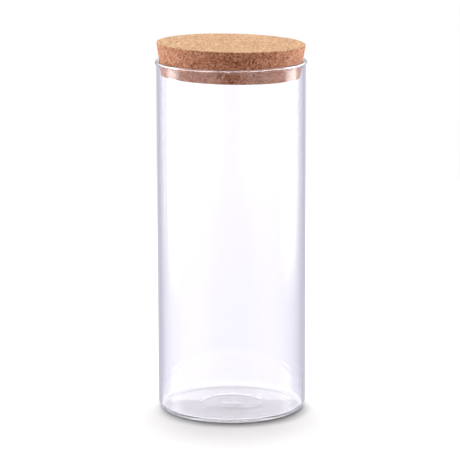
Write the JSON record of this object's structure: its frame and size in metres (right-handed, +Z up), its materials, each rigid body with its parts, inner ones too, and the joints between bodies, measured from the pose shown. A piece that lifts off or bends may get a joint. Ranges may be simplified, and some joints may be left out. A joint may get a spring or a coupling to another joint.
{
  "type": "storage jar with lid",
  "caption": "Tall straight-sided clear glass storage jar with a beaded lip and a tapered cork lid that lifts off.",
  "frame": {"origin": "centre of the ring that the jar stands on, at the height of the surface it stands on", "axes": "+Z up along the jar's axis; +X to the right and -Y towards the viewer of the picture"},
  "size_m": [0.1016, 0.1016, 0.2513],
  "materials": {
    "clear_glass": "gloss",
    "pressed_cork": "matte"
  },
  "bodies": {
    "jar": {"glass_jar": "clear_glass"},
    "lid": {"cork_lid": "pressed_cork"}
  },
  "joints": [
    {"name": "lid_lift", "type": "slide", "parent": "jar", "child": "lid", "axis": [0, 0, 1], "range_m": [0, 0.06]}
  ]
}
